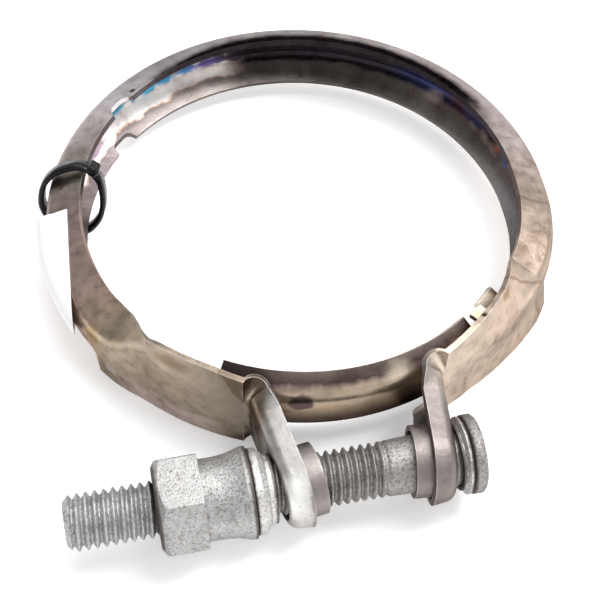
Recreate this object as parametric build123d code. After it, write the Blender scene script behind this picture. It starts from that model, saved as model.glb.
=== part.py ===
from build123d import *
from math import asin, atan2, cos, degrees, radians, sin, sqrt, tan
import os

# V-band exhaust clamp: a one-piece sprung steel strip, a bridge insert across its gap,
# and an M8 bolt with a collar nut. Millimetres. The origin is the centre of the ring,
# +Z runs along the pipe, and the bolt lies parallel to X on the -Y side.

# Strip that the clamp is formed from
sheet = 0.9                   # thickness
strip_width = 16.2            # flat width before forming
bend_length = 1.6             # width of strip taken up by each lengthwise bend

# V-shaped ring
ring_radius = 40.4            # outer face of the web
ring_web_half = 1.7           # flat half height of the web, up to its bend
ring_flank_turn = 67.5        # degrees that each flank is bent in

# Arms, where the V opens out to a flat strap. The fold line of a flank runs out to the
# strip's rim there. Each row is an azimuth, a share of arm_inset, and for the upper and
# then the lower flank the share of its fold line's way out and of its full turn. The
# right arm is given as the mirror image of a left one.
arm_inset = 1.7               # how far the strap lies inside the ring's outer face
left_arm_rows = [
    (203.0, 0.00, 0.00, 1.00, 0.00, 1.00),
    (208.0, 0.12, 0.00, 0.97, 0.00, 0.05),
    (213.0, 0.30, 0.08, 0.88, 0.00, 0.05),
    (216.5, 0.62, 0.40, 0.85, 0.00, 0.02),
    (219.5, 0.88, 0.74, 0.75, 0.00, 0.01),
    (222.5, 0.98, 0.90, 0.45, 0.00, 0.01),
    (227.0, 1.00, 0.50, 0.22, 0.00, 0.01),
    (238.0, 1.00, 0.10, 0.12, 0.00, 0.01),
]
right_arm_rows = [
    (184.0, 0.00, 0.00, 1.00, 0.00, 1.00),
    (193.0, -0.15, 0.00, 1.00, 0.00, 1.00),
    (203.0, -0.20, 0.00, 1.00, 0.00, 1.00),
    (208.0, -0.15, 0.00, 1.00, 0.00, -0.15),
    (213.5, 0.05, 0.00, 0.95, 0.00, -0.15),
    (220.5, 0.40, 0.00, 0.60, 0.00, -0.10),
    (226.0, 0.65, 0.00, 0.40, 0.00, -0.06),
    (238.0, 1.00, 0.00, 0.16, 0.00, 0.00),
]
section_step = 4.0            # degrees between the arm's sections

# Lugs
bolt_offset = 7.75            # from the ring's outer face to the bolt's axis
left_lug_face = -13.2         # outer face of the left lug at the bolt's axis
right_lug_face = 11.9         # outer face of the right lug at the bolt's axis
left_lug_lean = 8.0           # degrees that the lug's end leans into the gap
right_lug_lean = 6.0
lug_bend_radius = 2.0         # from the bend's centre to the middle of the sheet
lug_web_half = 4.4            # flat half height of the lug, up to its side folds
lug_flank_turn = 78.0         # degrees that the lug's sides are folded
lug_bend_turn = 52.0          # the same turn where the bend ends
lug_widening = 3.0            # length of lug in which its sides fold up fully
bend_sections = 5
collar_bore = 4.5             # radius of the drawn hole
collar_wall = 0.7
collar_height = 5.8           # from the lug's outer face to the collar's rim

# Relief notches in the flanks, at the back left of the ring
notch_azimuth = 136.5
notch_width = 5.0
notch_depth = 1.5
notch_corner = 1.5

# Bridge insert, a shorter V-shaped strip inside the gap
insert_clearance = 0.1
insert_width = 13.8
insert_web_half = 2.3
insert_flank_turn = 60.0
insert_start = 236.0          # azimuth of its free end, under the left arm
insert_end = 315.5            # azimuth of its fixed end, under the right arm
insert_end_slant = 3.2        # degrees that the free end's corners are cut back
insert_notch_azimuth = 306.0  # where the clinch tabs pass its flanks
insert_notch_clearance = 0.5  # on each side of a tab

# Clinch tabs on the right arm, folded in through the insert's notches
tab_width = 2.4
tab_reach = 2.6
tab_drop = 1.9                # from the strip's rim to the middle of the tab

# Bolt
thread_radius = 3.95          # M8, over the crests
thread_end = -42.8            # free end of the bolt along X
thread_start = 2.7            # where the thread runs out into the neck
thread_chamfer = 0.9
neck_radius = 4.1
neck_length = 3.6
head_radius = 5.7
head_thickness = 1.9
head_edge = 0.4

# Sleeves between the lugs and the bolt's head and nut
running_gap = 0.1
sleeve_bore = 4.3
sleeve_tube_radius = 4.9
sleeve_edge = 0.2
nut_sleeve_length = 3.1
nut_sleeve_flange_radius = 6.1
nut_sleeve_flange = 2.2
nut_sleeve_chamfer = 0.7
nut_sleeve_step = 0.3
head_sleeve_length = 1.35
head_sleeve_flange_radius = 5.6
head_sleeve_flange = 0.9
head_sleeve_chamfer = 0.35

# Collar nut
nut_length = 13.2
nut_across_flats = 13.0
nut_hex_length = 6.4
nut_waist_radius = 5.75
nut_flange_radius = 6.5
nut_flange_rim = 0.8
nut_flare_length = 4.0
nut_bore = 4.05
nut_corner_length = 1.2       # of the hexagon's turned corners, along the bolt
nut_corner_depth = 1.9

# Cable tie, a slack loop round the ring's section
tie_azimuth = 164.5
tie_tilt = 8.0                # degrees that the loop's lower side swings to +Y
tie_width = 2.5
tie_thickness = 1.1
tie_gap = 0.43                # over the upper flank, on which it hangs
tie_outer_slack = 1.35        # from the ring's outer face to the middle of the strap
tie_inner_slack = 2.6         # from the flanks' rim to the middle of the strap
tie_corner = 2.2
tie_head_width = 4.2
tie_head_length = 3.8
tie_head_depth = 2.8
tie_head_edge = 0.5
tie_tail = 1.2                # trimmed end of the strap, past the head

# Paper label round the outside of the ring
label_thickness = 0.15
label_start = 174.0
label_end = 206.0
label_flank_cover = 3.0       # how far it reaches over the upper flank
label_bulge = 1.3             # how far it stands off the web
label_edge_azimuth = 175.7    # direction that its straight upper edge faces away from
label_edge_inset = 3.6        # from the ring's outer face to that edge

half_width = strip_width / 2
ring_middle = ring_radius - sheet / 2
arm_radius = ring_radius - arm_inset
bolt_distance = ring_radius + bolt_offset
ring_folds = [(ring_web_half, ring_flank_turn)] * 2


def on_strip(distance, offset, web_half, turn):
    """Point of a folded strip's upper half: distance from its middle, offset outwards."""
    if distance <= web_half or turn == 0:
        return offset, distance
    angle = radians(turn)
    radius = bend_length / angle
    along = min(distance - web_half, bend_length) / radius
    rest = max(distance - web_half - bend_length, 0)
    u = (radius + offset) * cos(along) - radius - rest * sin(along)
    v = web_half + (radius + offset) * sin(along) + rest * cos(along)
    return u, v


def face_edges(offset, web_half, turn, half, side):
    """Edges along one face of half a strip's section, with the ends of their chain."""
    marks = [0, web_half, web_half + bend_length / 2, web_half + bend_length, half]
    points = []
    for mark in marks:
        u, v = on_strip(mark, offset, web_half, turn)
        points.append((u, side * v))
    middle, bend_start, bend_middle, bend_end, rim = points
    edges = [Line(middle, bend_start)]
    if turn == 0:
        edges.append(Line(bend_start, bend_end))
    else:
        edges.append(ThreePointArc(bend_start, bend_middle, bend_end))
    edges.append(Line(bend_end, rim))
    return edges, middle, rim


def strip_section(plane, folds, half=half_width):
    """Face of a folded strip's section, with the plane's x axis pointing outwards.

    The folds are the web's half height and the flank's turn, for the upper half of the
    section and then for the lower half.
    """
    edges = []
    for side, (web_half, turn) in zip((1, -1), folds):
        outer, outer_middle, outer_rim = face_edges(sheet / 2, web_half, turn, half, side)
        inner, inner_middle, inner_rim = face_edges(-sheet / 2, web_half, turn, half, side)
        edges += outer + inner + [Line(outer_rim, inner_rim)]
    if len(folds) == 1:
        edges.append(Line(outer_middle, inner_middle))
    return plane * make_face(edges)


def radial_plane(azimuth, radius):
    """Plane across the strip at one azimuth, at the middle of its sheet."""
    angle = radians(azimuth)
    outwards = Vector(cos(angle), sin(angle), 0)
    return Plane(outwards * radius, x_dir=outwards, z_dir=Vector(sin(angle), -cos(angle), 0))


def ring_sector(start, end, radius, folds, half=half_width):
    """Part of the ring between two azimuths, with one section all the way."""
    face = strip_section(radial_plane(start, radius), folds, half)
    return revolve(face, Axis.Z, end - start)


def wedge(start, end, reach, height):
    """Block between two azimuths, for cutting the ends of ring sectors."""
    corners = [(0, 0)]
    for azimuth in (start, (start + end) / 2, end):
        angle = radians(azimuth)
        corners.append((reach * cos(angle), reach * sin(angle)))
    return extrude(make_face(Polyline(*corners, close=True)), height / 2, both=True)


def lug_path(lug_face, lean):
    """Centre of the bend from a left arm into its lug, and the lug's directions."""
    angle = radians(lean)
    outwards = Vector(sin(angle), -cos(angle), 0)
    face_normal = Vector(-cos(angle), -sin(angle), 0)
    on_middle = Vector(lug_face, -bolt_distance, 0) - face_normal * (sheet / 2)
    offset = on_middle + face_normal * lug_bend_radius
    reach = arm_radius - sheet / 2 + lug_bend_radius
    along = offset.dot(outwards)
    back = -along + sqrt(along ** 2 - offset.dot(offset) + reach ** 2)
    centre = offset + outwards * back
    return centre, outwards, face_normal, on_middle


def between(low, high, share):
    return low + (high - low) * share


def arm_shape(row):
    """Radius of the sheet's middle, and the folds, that a row of shares stands for."""
    _, inset, upper_out, upper_turn, lower_out, lower_turn = row
    way_out = half_width - bend_length - ring_web_half
    folds = []
    for out, turn in ((upper_out, upper_turn), (lower_out, lower_turn)):
        folds.append((ring_web_half + way_out * out, ring_flank_turn * turn))
    return ring_middle - arm_inset * inset, folds


def arm_row(low, high, share):
    return [between(a, b, share) for a, b in zip(low, high)]


def arm_section(row):
    radius, folds = arm_shape(row)
    return strip_section(radial_plane(row[0], radius), folds)


def opened_arm(rows):
    """Arm from the ring to the start of the lug's bend."""
    arm = None
    for low, high in zip(rows, rows[1:]):
        steps = max(2, round((high[0] - low[0]) / section_step))
        sections = [arm_section(arm_row(low, high, step / steps)) for step in range(steps + 1)]
        piece = loft(sections)
        arm = piece if arm is None else arm + piece
    return arm


def left_arm(rows, lug_face, lean):
    """Arm, lug and drawn collar on the left side."""
    centre, outwards, face_normal, on_middle = lug_path(lug_face, lean)
    bend_azimuth = degrees(atan2(centre.Y, centre.X)) % 360
    arm = opened_arm(rows + [(bend_azimuth, 1.0, 0.0, 0.0, 0.0, 0.0)])

    lean_turn = degrees(atan2(-face_normal.Y, -face_normal.X)) % 360
    bend_turn = lean_turn - (bend_azimuth - 180)
    bend = []
    for step in range(bend_sections):
        share = step / (bend_sections - 1)
        toward = radians(bend_azimuth - 180 + bend_turn * share)
        from_centre = Vector(cos(toward), sin(toward), 0)
        plane = Plane(centre + from_centre * lug_bend_radius, x_dir=-from_centre,
                      z_dir=Vector(-sin(toward), cos(toward), 0))
        fold = (between(ring_web_half, lug_web_half, share), lug_bend_turn * share)
        bend.append(strip_section(plane, [fold, fold]))
    arm += loft(bend)

    across = Vector(face_normal.Y, -face_normal.X, 0)
    bend_end = centre - face_normal * lug_bend_radius
    hole_shift = (collar_height - sheet) / 2 * sin(radians(lean))
    hole = on_middle + outwards * hole_shift
    leg = (hole - bend_end).length
    widening = []
    for share in (0, 0.5, 1):
        plane = Plane(bend_end + outwards * (lug_widening * share), x_dir=face_normal, z_dir=across)
        fold = (lug_web_half, between(lug_bend_turn, lug_flank_turn, share))
        widening.append(strip_section(plane, [fold, fold]))
    arm += loft(widening)
    arm += extrude(widening[-1], leg - lug_widening, dir=outwards)

    hole_plane = Plane(hole, x_dir=face_normal, z_dir=across)
    half = strip_section(hole_plane, [(lug_web_half, lug_flank_turn)])
    arm += revolve(half, Axis(hole, -face_normal), 180)

    collar_plane = Plane(hole, z_dir=-face_normal)
    rim = collar_height - sheet / 2
    arm += extrude(collar_plane * Circle(collar_bore + collar_wall), rim)
    arm -= extrude(collar_plane.offset(-sheet) * Circle(collar_bore), rim + 2 * sheet)
    return arm


def ring_rim():
    """Radius of the ring's inner rim."""
    u, _ = on_strip(half_width, 0, ring_web_half, ring_flank_turn)
    return ring_middle + u


def relief_notch():
    """Rounded slot that is cut through both flanks of the ring."""
    inner = ring_rim() - notch_depth
    outer = ring_rim() + notch_depth
    slot = Pos((inner + outer) / 2, 0, 0) * Rectangle(outer - inner, notch_width)
    slot = extrude(slot, strip_width, both=True)
    slot = fillet(slot.edges().filter_by(Axis.Z).group_by(Axis.X)[-1], notch_corner)
    return Rot(0, 0, notch_azimuth) * slot


def strap_at(azimuth, rows):
    """Radius and folds of an arm's sheet at an azimuth between two of its rows."""
    for low, high in zip(rows, rows[1:]):
        if low[0] <= azimuth <= high[0]:
            return arm_shape(arm_row(low, high, (azimuth - low[0]) / (high[0] - low[0])))


def clinch_tabs():
    """Tabs of the right arm that are folded in through the insert's notches."""
    radius, folds = strap_at(540 - insert_notch_azimuth, right_arm_rows)
    tabs = None
    for side, (web_half, turn) in zip((1, -1), folds):
        u, v = on_strip(half_width - tab_drop, 0, web_half, turn)
        block = Pos(radius + u - tab_reach / 2, 0, side * v) * Box(tab_reach, tab_width, sheet)
        block = Rot(0, 0, insert_notch_azimuth) * block
        tabs = block if tabs is None else tabs + block
    return tabs


def make_clamp_band():
    left_start = left_arm_rows[0][0]
    right_start = 180 - right_arm_rows[0][0]
    band = ring_sector(right_start, left_start, ring_middle, ring_folds)
    band -= relief_notch()
    band += left_arm(left_arm_rows, left_lug_face, left_lug_lean)
    band += mirror(left_arm(right_arm_rows, -right_lug_face, right_lug_lean), Plane.YZ)
    band += clinch_tabs()
    return band


def make_bridge_insert():
    radius = arm_radius - sheet - insert_clearance - sheet / 2
    folds = [(insert_web_half, insert_flank_turn)] * 2
    insert = ring_sector(insert_start, insert_end, radius, folds, insert_width / 2)
    web = Cylinder(ring_radius, 2 * insert_web_half)
    half_notch = degrees(asin((tab_width / 2 + insert_notch_clearance) / radius))
    notch = wedge(insert_notch_azimuth - half_notch, insert_notch_azimuth + half_notch,
                  2 * ring_radius, strip_width)
    corner = wedge(insert_start - insert_end_slant, insert_start + insert_end_slant,
                   2 * ring_radius, strip_width)
    return insert - (notch - web) - (corner - web)


def turned(profile):
    """Body turned round the bolt's axis, from points (x, radius)."""
    face = make_face(Polyline(*profile, close=True))
    return Pos(0, -bolt_distance, 0) * revolve(face, Axis.X, 360)


def lug_contact(lug_face, lean):
    """Where a sleeve end first meets the leaning lug, along X from the ring's centre."""
    return abs(lug_face) + sleeve_tube_radius * tan(radians(lean)) + running_gap / 2


def make_head_sleeve():
    start = lug_contact(right_lug_face, right_lug_lean)
    end = start + head_sleeve_length
    flange = end - head_sleeve_flange
    return turned([
        (start, sleeve_bore),
        (start, sleeve_tube_radius),
        (flange, sleeve_tube_radius),
        (flange + head_sleeve_chamfer, head_sleeve_flange_radius),
        (end - sleeve_edge, head_sleeve_flange_radius),
        (end, head_sleeve_flange_radius - sleeve_edge),
        (end, sleeve_bore),
    ])


def make_nut_sleeve():
    start = -lug_contact(left_lug_face, left_lug_lean)
    end = start - nut_sleeve_length
    flange = end + nut_sleeve_flange
    return turned([
        (start, sleeve_bore),
        (start, sleeve_tube_radius),
        (flange, sleeve_tube_radius),
        (flange - nut_sleeve_step, nut_sleeve_flange_radius - nut_sleeve_chamfer),
        (flange - nut_sleeve_step - nut_sleeve_chamfer, nut_sleeve_flange_radius),
        (end + sleeve_edge, nut_sleeve_flange_radius),
        (end, nut_sleeve_flange_radius - sleeve_edge),
        (end, sleeve_bore),
    ])


def make_clamp_bolt():
    head = lug_contact(right_lug_face, right_lug_lean) + head_sleeve_length + running_gap / 2
    return turned([
        (thread_end, 0),
        (thread_end, thread_radius - thread_chamfer),
        (thread_end + thread_chamfer, thread_radius),
        (thread_start, thread_radius),
        (thread_start + neck_length, neck_radius),
        (head, neck_radius),
        (head, head_radius),
        (head + head_thickness - head_edge, head_radius),
        (head + head_thickness, head_radius - head_edge),
        (head + head_thickness, 0),
    ])


def make_collar_nut():
    face = -lug_contact(left_lug_face, left_lug_lean) - nut_sleeve_length - running_gap / 2
    end = face - nut_length
    hex_end = end + nut_hex_length
    corner = nut_across_flats / sqrt(3)
    flare = face - nut_flange_rim - nut_flare_length
    flared = TangentArc((flare, nut_waist_radius), (face - nut_flange_rim, nut_flange_radius),
                        tangent=(1, 0))
    sides = Polyline((flare, nut_waist_radius), (hex_end, nut_waist_radius), (hex_end, corner),
                     (end + nut_corner_length, corner), (end, corner - nut_corner_depth),
                     (end, nut_bore), (face, nut_bore), (face, nut_flange_radius),
                     (face - nut_flange_rim, nut_flange_radius))
    body = Pos(0, -bolt_distance, 0) * revolve(make_face([flared, sides]), Axis.X, 360)
    axis_end = Plane(Vector(end, -bolt_distance, 0), z_dir=(1, 0, 0))
    prism = extrude(axis_end * RegularPolygon(corner, 6, rotation=30), nut_hex_length)
    rest = extrude(axis_end.offset(nut_hex_length) * Circle(corner), nut_length - nut_hex_length)
    return body & (prism + rest)


def make_cable_tie():
    lift = sheet / 2 + tie_gap + tie_thickness / 2
    rim_u, rim_v = on_strip(half_width, lift, ring_web_half, ring_flank_turn)
    slope = tan(radians(90 - ring_flank_turn))
    outer_u = sheet / 2 + tie_outer_slack
    inner_u = ring_rim() - ring_middle - tie_inner_slack
    outer_v = rim_v - (outer_u - rim_u) * slope
    inner_v = rim_v + (rim_u - inner_u) * slope
    corners = [(outer_u, -outer_v), (outer_u, outer_v), (inner_u, inner_v), (inner_u, -inner_v)]
    outline = make_face(FilletPolyline(*corners, radius=tie_corner, close=True))
    outer = offset(outline, tie_thickness / 2, kind=Kind.ARC)
    inner = offset(outline, -tie_thickness / 2, kind=Kind.ARC)
    plane = radial_plane(tie_azimuth, ring_middle).rotated((-tie_tilt, 0, 0))
    loop = extrude(plane * (outer - inner), tie_width / 2, both=True)

    head_place = Pos(inner_u + tie_corner, inner_v - tie_corner * slope) * Rot(0, 0, ring_flank_turn - 90)
    proud = Pos(0, (tie_head_depth - tie_thickness) / 2)
    block = head_place * proud * Rectangle(tie_head_length, tie_head_depth)
    head = extrude(plane * block, tie_head_width / 2, both=True)
    head = chamfer(head.edges(), tie_head_edge)
    end = head_place * Pos(-tie_head_length / 2, 0) * Rectangle(2 * tie_tail, tie_thickness)
    tail = extrude(plane * end, tie_width / 2, both=True)
    return loop + head + tail


def make_paper_label():
    """Paper strip that lies on the upper flank and bulges off the web."""
    flank = ring_web_half + bend_length
    ends = []
    edges = []
    for lift in (sheet / 2, sheet / 2 + label_thickness):
        top = on_strip(flank + label_flank_cover, lift, ring_web_half, ring_flank_turn)
        knee = on_strip(flank, lift, ring_web_half, ring_flank_turn)
        foot = (lift, -ring_web_half)
        edges += [Line(top, knee), ThreePointArc(knee, (lift + label_bulge, 0), foot)]
        ends.append((top, foot))
    inner, outer = ends
    edges += [Line(inner[0], outer[0]), Line(inner[1], outer[1])]
    section = radial_plane(label_start, ring_middle) * make_face(edges)
    paper = revolve(section, Axis.Z, label_end - label_start)
    edge = ring_radius - label_edge_inset
    inside = Pos(edge - ring_radius, 0, 0) * Box(2 * ring_radius, 2 * ring_radius, strip_width)
    return paper - Rot(0, 0, label_edge_azimuth) * inside


def write(shape, name):
    solids = shape.solids()
    if len(solids) == 1:
        shape = solids[0]
    export_step(shape, f"parts/{name}.step")
    print(f"{name:16s} {len(solids)} solid, {shape.volume:9.2f} mm3")


os.makedirs("parts", exist_ok=True)
write(make_clamp_band(), "clamp_band")
write(make_bridge_insert(), "bridge_insert")
write(make_clamp_bolt(), "clamp_bolt")
write(make_head_sleeve(), "head_sleeve")
write(make_nut_sleeve(), "nut_sleeve")
write(make_collar_nut(), "collar_nut")
write(make_cable_tie(), "cable_tie")
write(make_paper_label(), "paper_label")
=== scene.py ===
"""Looks of a used V-band exhaust clamp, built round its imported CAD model. Metres."""
from math import cos, pi, radians, sin

import bmesh
import bpy
from mathutils import Matrix, Vector


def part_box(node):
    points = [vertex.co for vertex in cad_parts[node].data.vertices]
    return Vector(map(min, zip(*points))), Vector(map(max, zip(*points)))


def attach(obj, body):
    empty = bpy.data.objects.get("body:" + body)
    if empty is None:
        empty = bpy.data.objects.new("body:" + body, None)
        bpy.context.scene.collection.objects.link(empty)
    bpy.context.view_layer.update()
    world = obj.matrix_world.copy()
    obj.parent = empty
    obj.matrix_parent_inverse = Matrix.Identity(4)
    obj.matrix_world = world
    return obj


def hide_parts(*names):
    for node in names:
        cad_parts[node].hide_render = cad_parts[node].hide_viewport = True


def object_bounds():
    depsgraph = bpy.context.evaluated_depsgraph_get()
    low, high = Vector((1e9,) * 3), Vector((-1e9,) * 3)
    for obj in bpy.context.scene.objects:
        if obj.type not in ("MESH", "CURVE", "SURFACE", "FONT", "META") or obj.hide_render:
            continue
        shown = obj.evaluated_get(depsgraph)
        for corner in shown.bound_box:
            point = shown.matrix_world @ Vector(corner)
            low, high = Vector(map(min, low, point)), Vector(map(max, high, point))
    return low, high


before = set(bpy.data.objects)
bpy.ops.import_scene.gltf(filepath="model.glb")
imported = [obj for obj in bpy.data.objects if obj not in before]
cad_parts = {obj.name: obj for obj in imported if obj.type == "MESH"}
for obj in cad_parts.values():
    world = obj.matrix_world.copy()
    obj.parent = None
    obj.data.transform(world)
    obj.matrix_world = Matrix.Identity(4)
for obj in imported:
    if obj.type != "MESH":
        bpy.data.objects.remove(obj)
cad_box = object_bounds()
MM = 0.001
FULL_TURN = 360.0
SHARP_ANGLE = radians(50)     # edges between faces that turn by more stay sharp

# Sizes taken from the CAD parts
bolt_low, bolt_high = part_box("clamp_bolt")
bolt_y = (bolt_low.y + bolt_high.y) / 2


# Shader building blocks

EDGE_GLARE = (0.35, 0.35, 0.35, 1)    # how much a surface whitens where it is seen edge on
SPECK_EDGE = (0.30, 0.12)             # distances from a speck's centre: outside it, and inside
BEVEL_SAMPLES = 4


class Shader:
    """A node material under construction, with short ways to add and join nodes."""

    def __init__(self, name, metallic, roughness):
        self.material = bpy.data.materials.new(name)
        self.material.use_nodes = True
        self.nodes = self.material.node_tree.nodes
        self.links = self.material.node_tree.links
        self.surface = self.nodes["Principled BSDF"]
        self.surface.inputs["Metallic"].default_value = metallic
        self.surface.inputs["Roughness"].default_value = roughness
        self.surface.inputs["Specular Tint"].default_value = EDGE_GLARE
        self.coords = self.nodes.new("ShaderNodeTexCoord")
        self.place = self.coords.outputs["Object"]
        self.normal = self.coords.outputs["Normal"]

    def put(self, socket, value):
        """Joins a socket to another one, or sets its number or colour."""
        if isinstance(value, bpy.types.NodeSocket):
            self.links.new(value, socket)
        elif isinstance(value, (tuple, list)) and len(value) == 3 and len(socket.default_value) == 4:
            socket.default_value = (*value, 1)
        else:
            socket.default_value = value

    def math(self, kind, *values, clamp=False):
        node = self.nodes.new("ShaderNodeMath")
        node.operation = kind
        node.use_clamp = clamp
        for socket, value in zip(node.inputs, values):
            self.put(socket, value)
        return node.outputs[0]

    def times(self, product, *others):
        for other in others:
            product = self.math("MULTIPLY", product, other)
        return product

    def plus(self, a, b, clamp=False):
        return self.math("ADD", a, b, clamp=clamp)

    def minus(self, a, b):
        return self.math("SUBTRACT", a, b)

    def in_mm(self, value):
        return self.math("DIVIDE", value, MM)

    def away(self, value, centre):
        """How far a value is from a centre, to either side."""
        return self.math("ABSOLUTE", self.minus(value, centre))

    def vector(self, kind, *values, output=0):
        node = self.nodes.new("ShaderNodeVectorMath")
        node.operation = kind
        for socket, value in zip(node.inputs, values):
            self.put(socket, value)
        return node.outputs[output]

    def split(self, vector):
        node = self.nodes.new("ShaderNodeSeparateXYZ")
        self.put(node.inputs[0], vector)
        return node.outputs

    def join(self, x, y, z):
        node = self.nodes.new("ShaderNodeCombineXYZ")
        for socket, value in zip(node.inputs, (x, y, z)):
            self.put(socket, value)
        return node.outputs[0]

    def mix(self, share, a, b, blend="MIX"):
        """Colour a where share is 0 and b where it is 1."""
        node = self.nodes.new("ShaderNodeMix")
        node.data_type = "RGBA"
        node.blend_type = blend
        self.put(node.inputs["Factor"], share)
        self.put(node.inputs[6], a)
        self.put(node.inputs[7], b)
        return node.outputs[2]

    def shade(self, colour, shades):
        """A colour, multiplied by shades."""
        return self.mix(1.0, colour, shades, "MULTIPLY")

    def ramp(self, value, low, high, to_low=0.0, to_high=1.0, smooth=True):
        node = self.nodes.new("ShaderNodeMapRange")
        node.interpolation_type = "SMOOTHSTEP" if smooth else "LINEAR"
        for name, number in (("From Min", low), ("From Max", high),
                             ("To Min", to_low), ("To Max", to_high)):
            self.put(node.inputs[name], number)
        self.put(node.inputs["Value"], value)
        return node.outputs[0]

    def window(self, value, rise, fall):
        """1 between two soft ends, each given by where it is 0 and where it is 1."""
        return self.times(self.ramp(value, *rise), self.ramp(value, *fall))

    def colours(self, value, *stops):
        """Colour ramp through (place, colour) stops."""
        node = self.nodes.new("ShaderNodeValToRGB")
        ramp = node.color_ramp
        while len(ramp.elements) < len(stops):
            ramp.elements.new(0.5)
        for element, (place, colour) in zip(ramp.elements, stops):
            element.position = place
            element.color = (*colour, 1)
        self.put(node.inputs[0], value)
        return node.outputs[0]

    def noise(self, size, detail=4.0, rough=0.55):
        """Noise whose blobs are about size metres across."""
        node = self.nodes.new("ShaderNodeTexNoise")
        node.inputs["Scale"].default_value = 1 / size
        node.inputs["Detail"].default_value = detail
        node.inputs["Roughness"].default_value = rough
        self.put(node.inputs["Vector"], self.place)
        return node.outputs[0]

    def specks(self, size, share):
        """Small round specks about size metres across, over a share of the surface."""
        node = self.nodes.new("ShaderNodeTexVoronoi")
        node.inputs["Scale"].default_value = 1 / size
        self.put(node.inputs["Vector"], self.place)
        distance = self.ramp(node.outputs["Distance"], *SPECK_EDGE)
        pick = self.split(node.outputs["Color"])[0]
        return self.times(distance, self.math("LESS_THAN", pick, share))

    def wobbled(self, size, amount, detail=4):
        """The place, moved about by noise, for ragged outlines."""
        node = self.nodes.new("ShaderNodeTexNoise")
        node.inputs["Scale"].default_value = 1 / size
        node.inputs["Detail"].default_value = detail
        self.put(node.inputs["Vector"], self.place)
        shift = self.vector("SUBTRACT", node.outputs["Color"], (0.5, 0.5, 0.5))
        shift = self.vector("SCALE", shift)
        shift.node.inputs["Scale"].default_value = 2 * amount
        return self.vector("ADD", self.place, shift)

    def patch(self, centre, reach, soft, at):
        """1 inside an ellipsoid round centre, fading to 0 at its rim. Millimetres."""
        offset = self.vector("SUBTRACT", at, tuple(c * MM for c in centre))
        scaled = self.vector("MULTIPLY", offset, tuple(1 / (r * MM) for r in reach))
        length = self.vector("LENGTH", scaled, output=1)
        return self.ramp(length, 1.0, 1.0 - soft)

    def bevelled(self, radius):
        """Normal of the surface with its edges rounded."""
        bevel = self.nodes.new("ShaderNodeBevel")
        bevel.samples = BEVEL_SAMPLES
        bevel.inputs["Radius"].default_value = radius
        return bevel.outputs[0]

    def finish(self, colour, roughness, bump, depth, edge=0.0):
        """Gives the surface its colour, roughness, bumps of a depth and rounded edges."""
        self.put(self.surface.inputs["Base Color"], colour)
        self.put(self.surface.inputs["Roughness"], roughness)
        node = self.nodes.new("ShaderNodeBump")
        node.inputs["Distance"].default_value = depth
        self.put(node.inputs["Height"], bump)
        if edge:
            self.put(node.inputs["Normal"], self.bevelled(edge))
        self.put(self.surface.inputs["Normal"], node.outputs[0])
        return self.material


FACING = (-0.2, 0.2)          # outward share of a normal: on inner faces, and on outer ones
WORN_TURN = (0.99, 0.90)      # cosine of the bevel's turn: on flat sheet, and on a worn edge
WORN_REACH = 0.25 * MM


def round_ring(shader, at):
    """Azimuth in degrees, radius and height of a place, with +X at 0 and +Y at 90."""
    x, y, z = shader.split(at)
    azimuth = shader.times(shader.math("ARCTAN2", y, x), 180 / pi)
    azimuth = shader.math("MODULO", shader.plus(azimuth, FULL_TURN), FULL_TURN)
    radius = shader.math("SQRT", shader.plus(shader.times(x, x), shader.times(y, y)))
    return azimuth, radius, z


def facing_out(shader):
    """1 on faces that look away from the ring's centre, 0 on faces that look at it."""
    x, y, z = shader.split(shader.place)
    level = shader.vector("NORMALIZE", shader.join(x, y, 0.0))
    outward = shader.vector("DOT_PRODUCT", level, shader.normal, output=1)
    return shader.ramp(outward, *FACING)


def worn_edge(shader):
    """1 along the sheet's edges, where rubbing has bared bright metal."""
    same = shader.vector("DOT_PRODUCT", shader.bevelled(WORN_REACH), shader.normal, output=1)
    return shader.ramp(same, *WORN_TURN)


def by_azimuth(shader, azimuth, tints):
    """Colour that runs from tint to tint round the ring, and back to the first one."""
    turn = shader.math("DIVIDE", azimuth, FULL_TURN)
    stops = [(degree / FULL_TURN, colour) for degree, colour in tints]
    return shader.colours(turn, *stops, (1.0, tints[0][1]))


def add_marks(shader, colour, marks, ragged):
    for _, centre, reach, soft, strength, tint in marks:
        share = shader.times(shader.patch(centre, reach, soft, ragged), strength)
        colour = shader.mix(share, colour, tint)
    return colour


# Band. Azimuths in degrees, radii and heights in millimetres unless they say MM. A soft end is a
# pair: where it is 0 and where it is 1

# Colours of the heat-tinted strip by azimuth, on the faces that look outwards, with painted light on
# the lugs
OUTER_TINTS_AND_LUG_LIGHT = (
    (0, (0.48, 0.40, 0.37)), (15, (0.54, 0.47, 0.46)), (50, (0.52, 0.47, 0.465)),
    (95, (0.44, 0.41, 0.41)), (118, (0.40, 0.38, 0.39)), (135, (0.70, 0.65, 0.67)),
    (148, (0.66, 0.59, 0.58)), (160, (0.52, 0.45, 0.43)), (166, (0.46, 0.41, 0.35)),
    (172, (0.38, 0.30, 0.28)), (196, (0.42, 0.31, 0.28)), (203, (0.50, 0.37, 0.31)),
    (208, (0.52, 0.40, 0.31)), (213, (0.42, 0.35, 0.275)), (240, (0.32, 0.27, 0.215)),
    # Painted light: the left lug (254 to 270) lit pale and the right lug (272 to 286) shaded dark, as
    # copies of one steel
    (250, (0.27, 0.235, 0.20)), (254, (0.52, 0.51, 0.50)), (270, (0.52, 0.51, 0.50)),
    (272, (0.25, 0.225, 0.215)), (286, (0.25, 0.225, 0.215)), (290, (0.58, 0.49, 0.41)),
    (312, (0.54, 0.44, 0.36)), (322, (0.56, 0.45, 0.37)), (336, (0.42, 0.33, 0.265)),
    (346, (0.42, 0.34, 0.28)),
)
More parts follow.
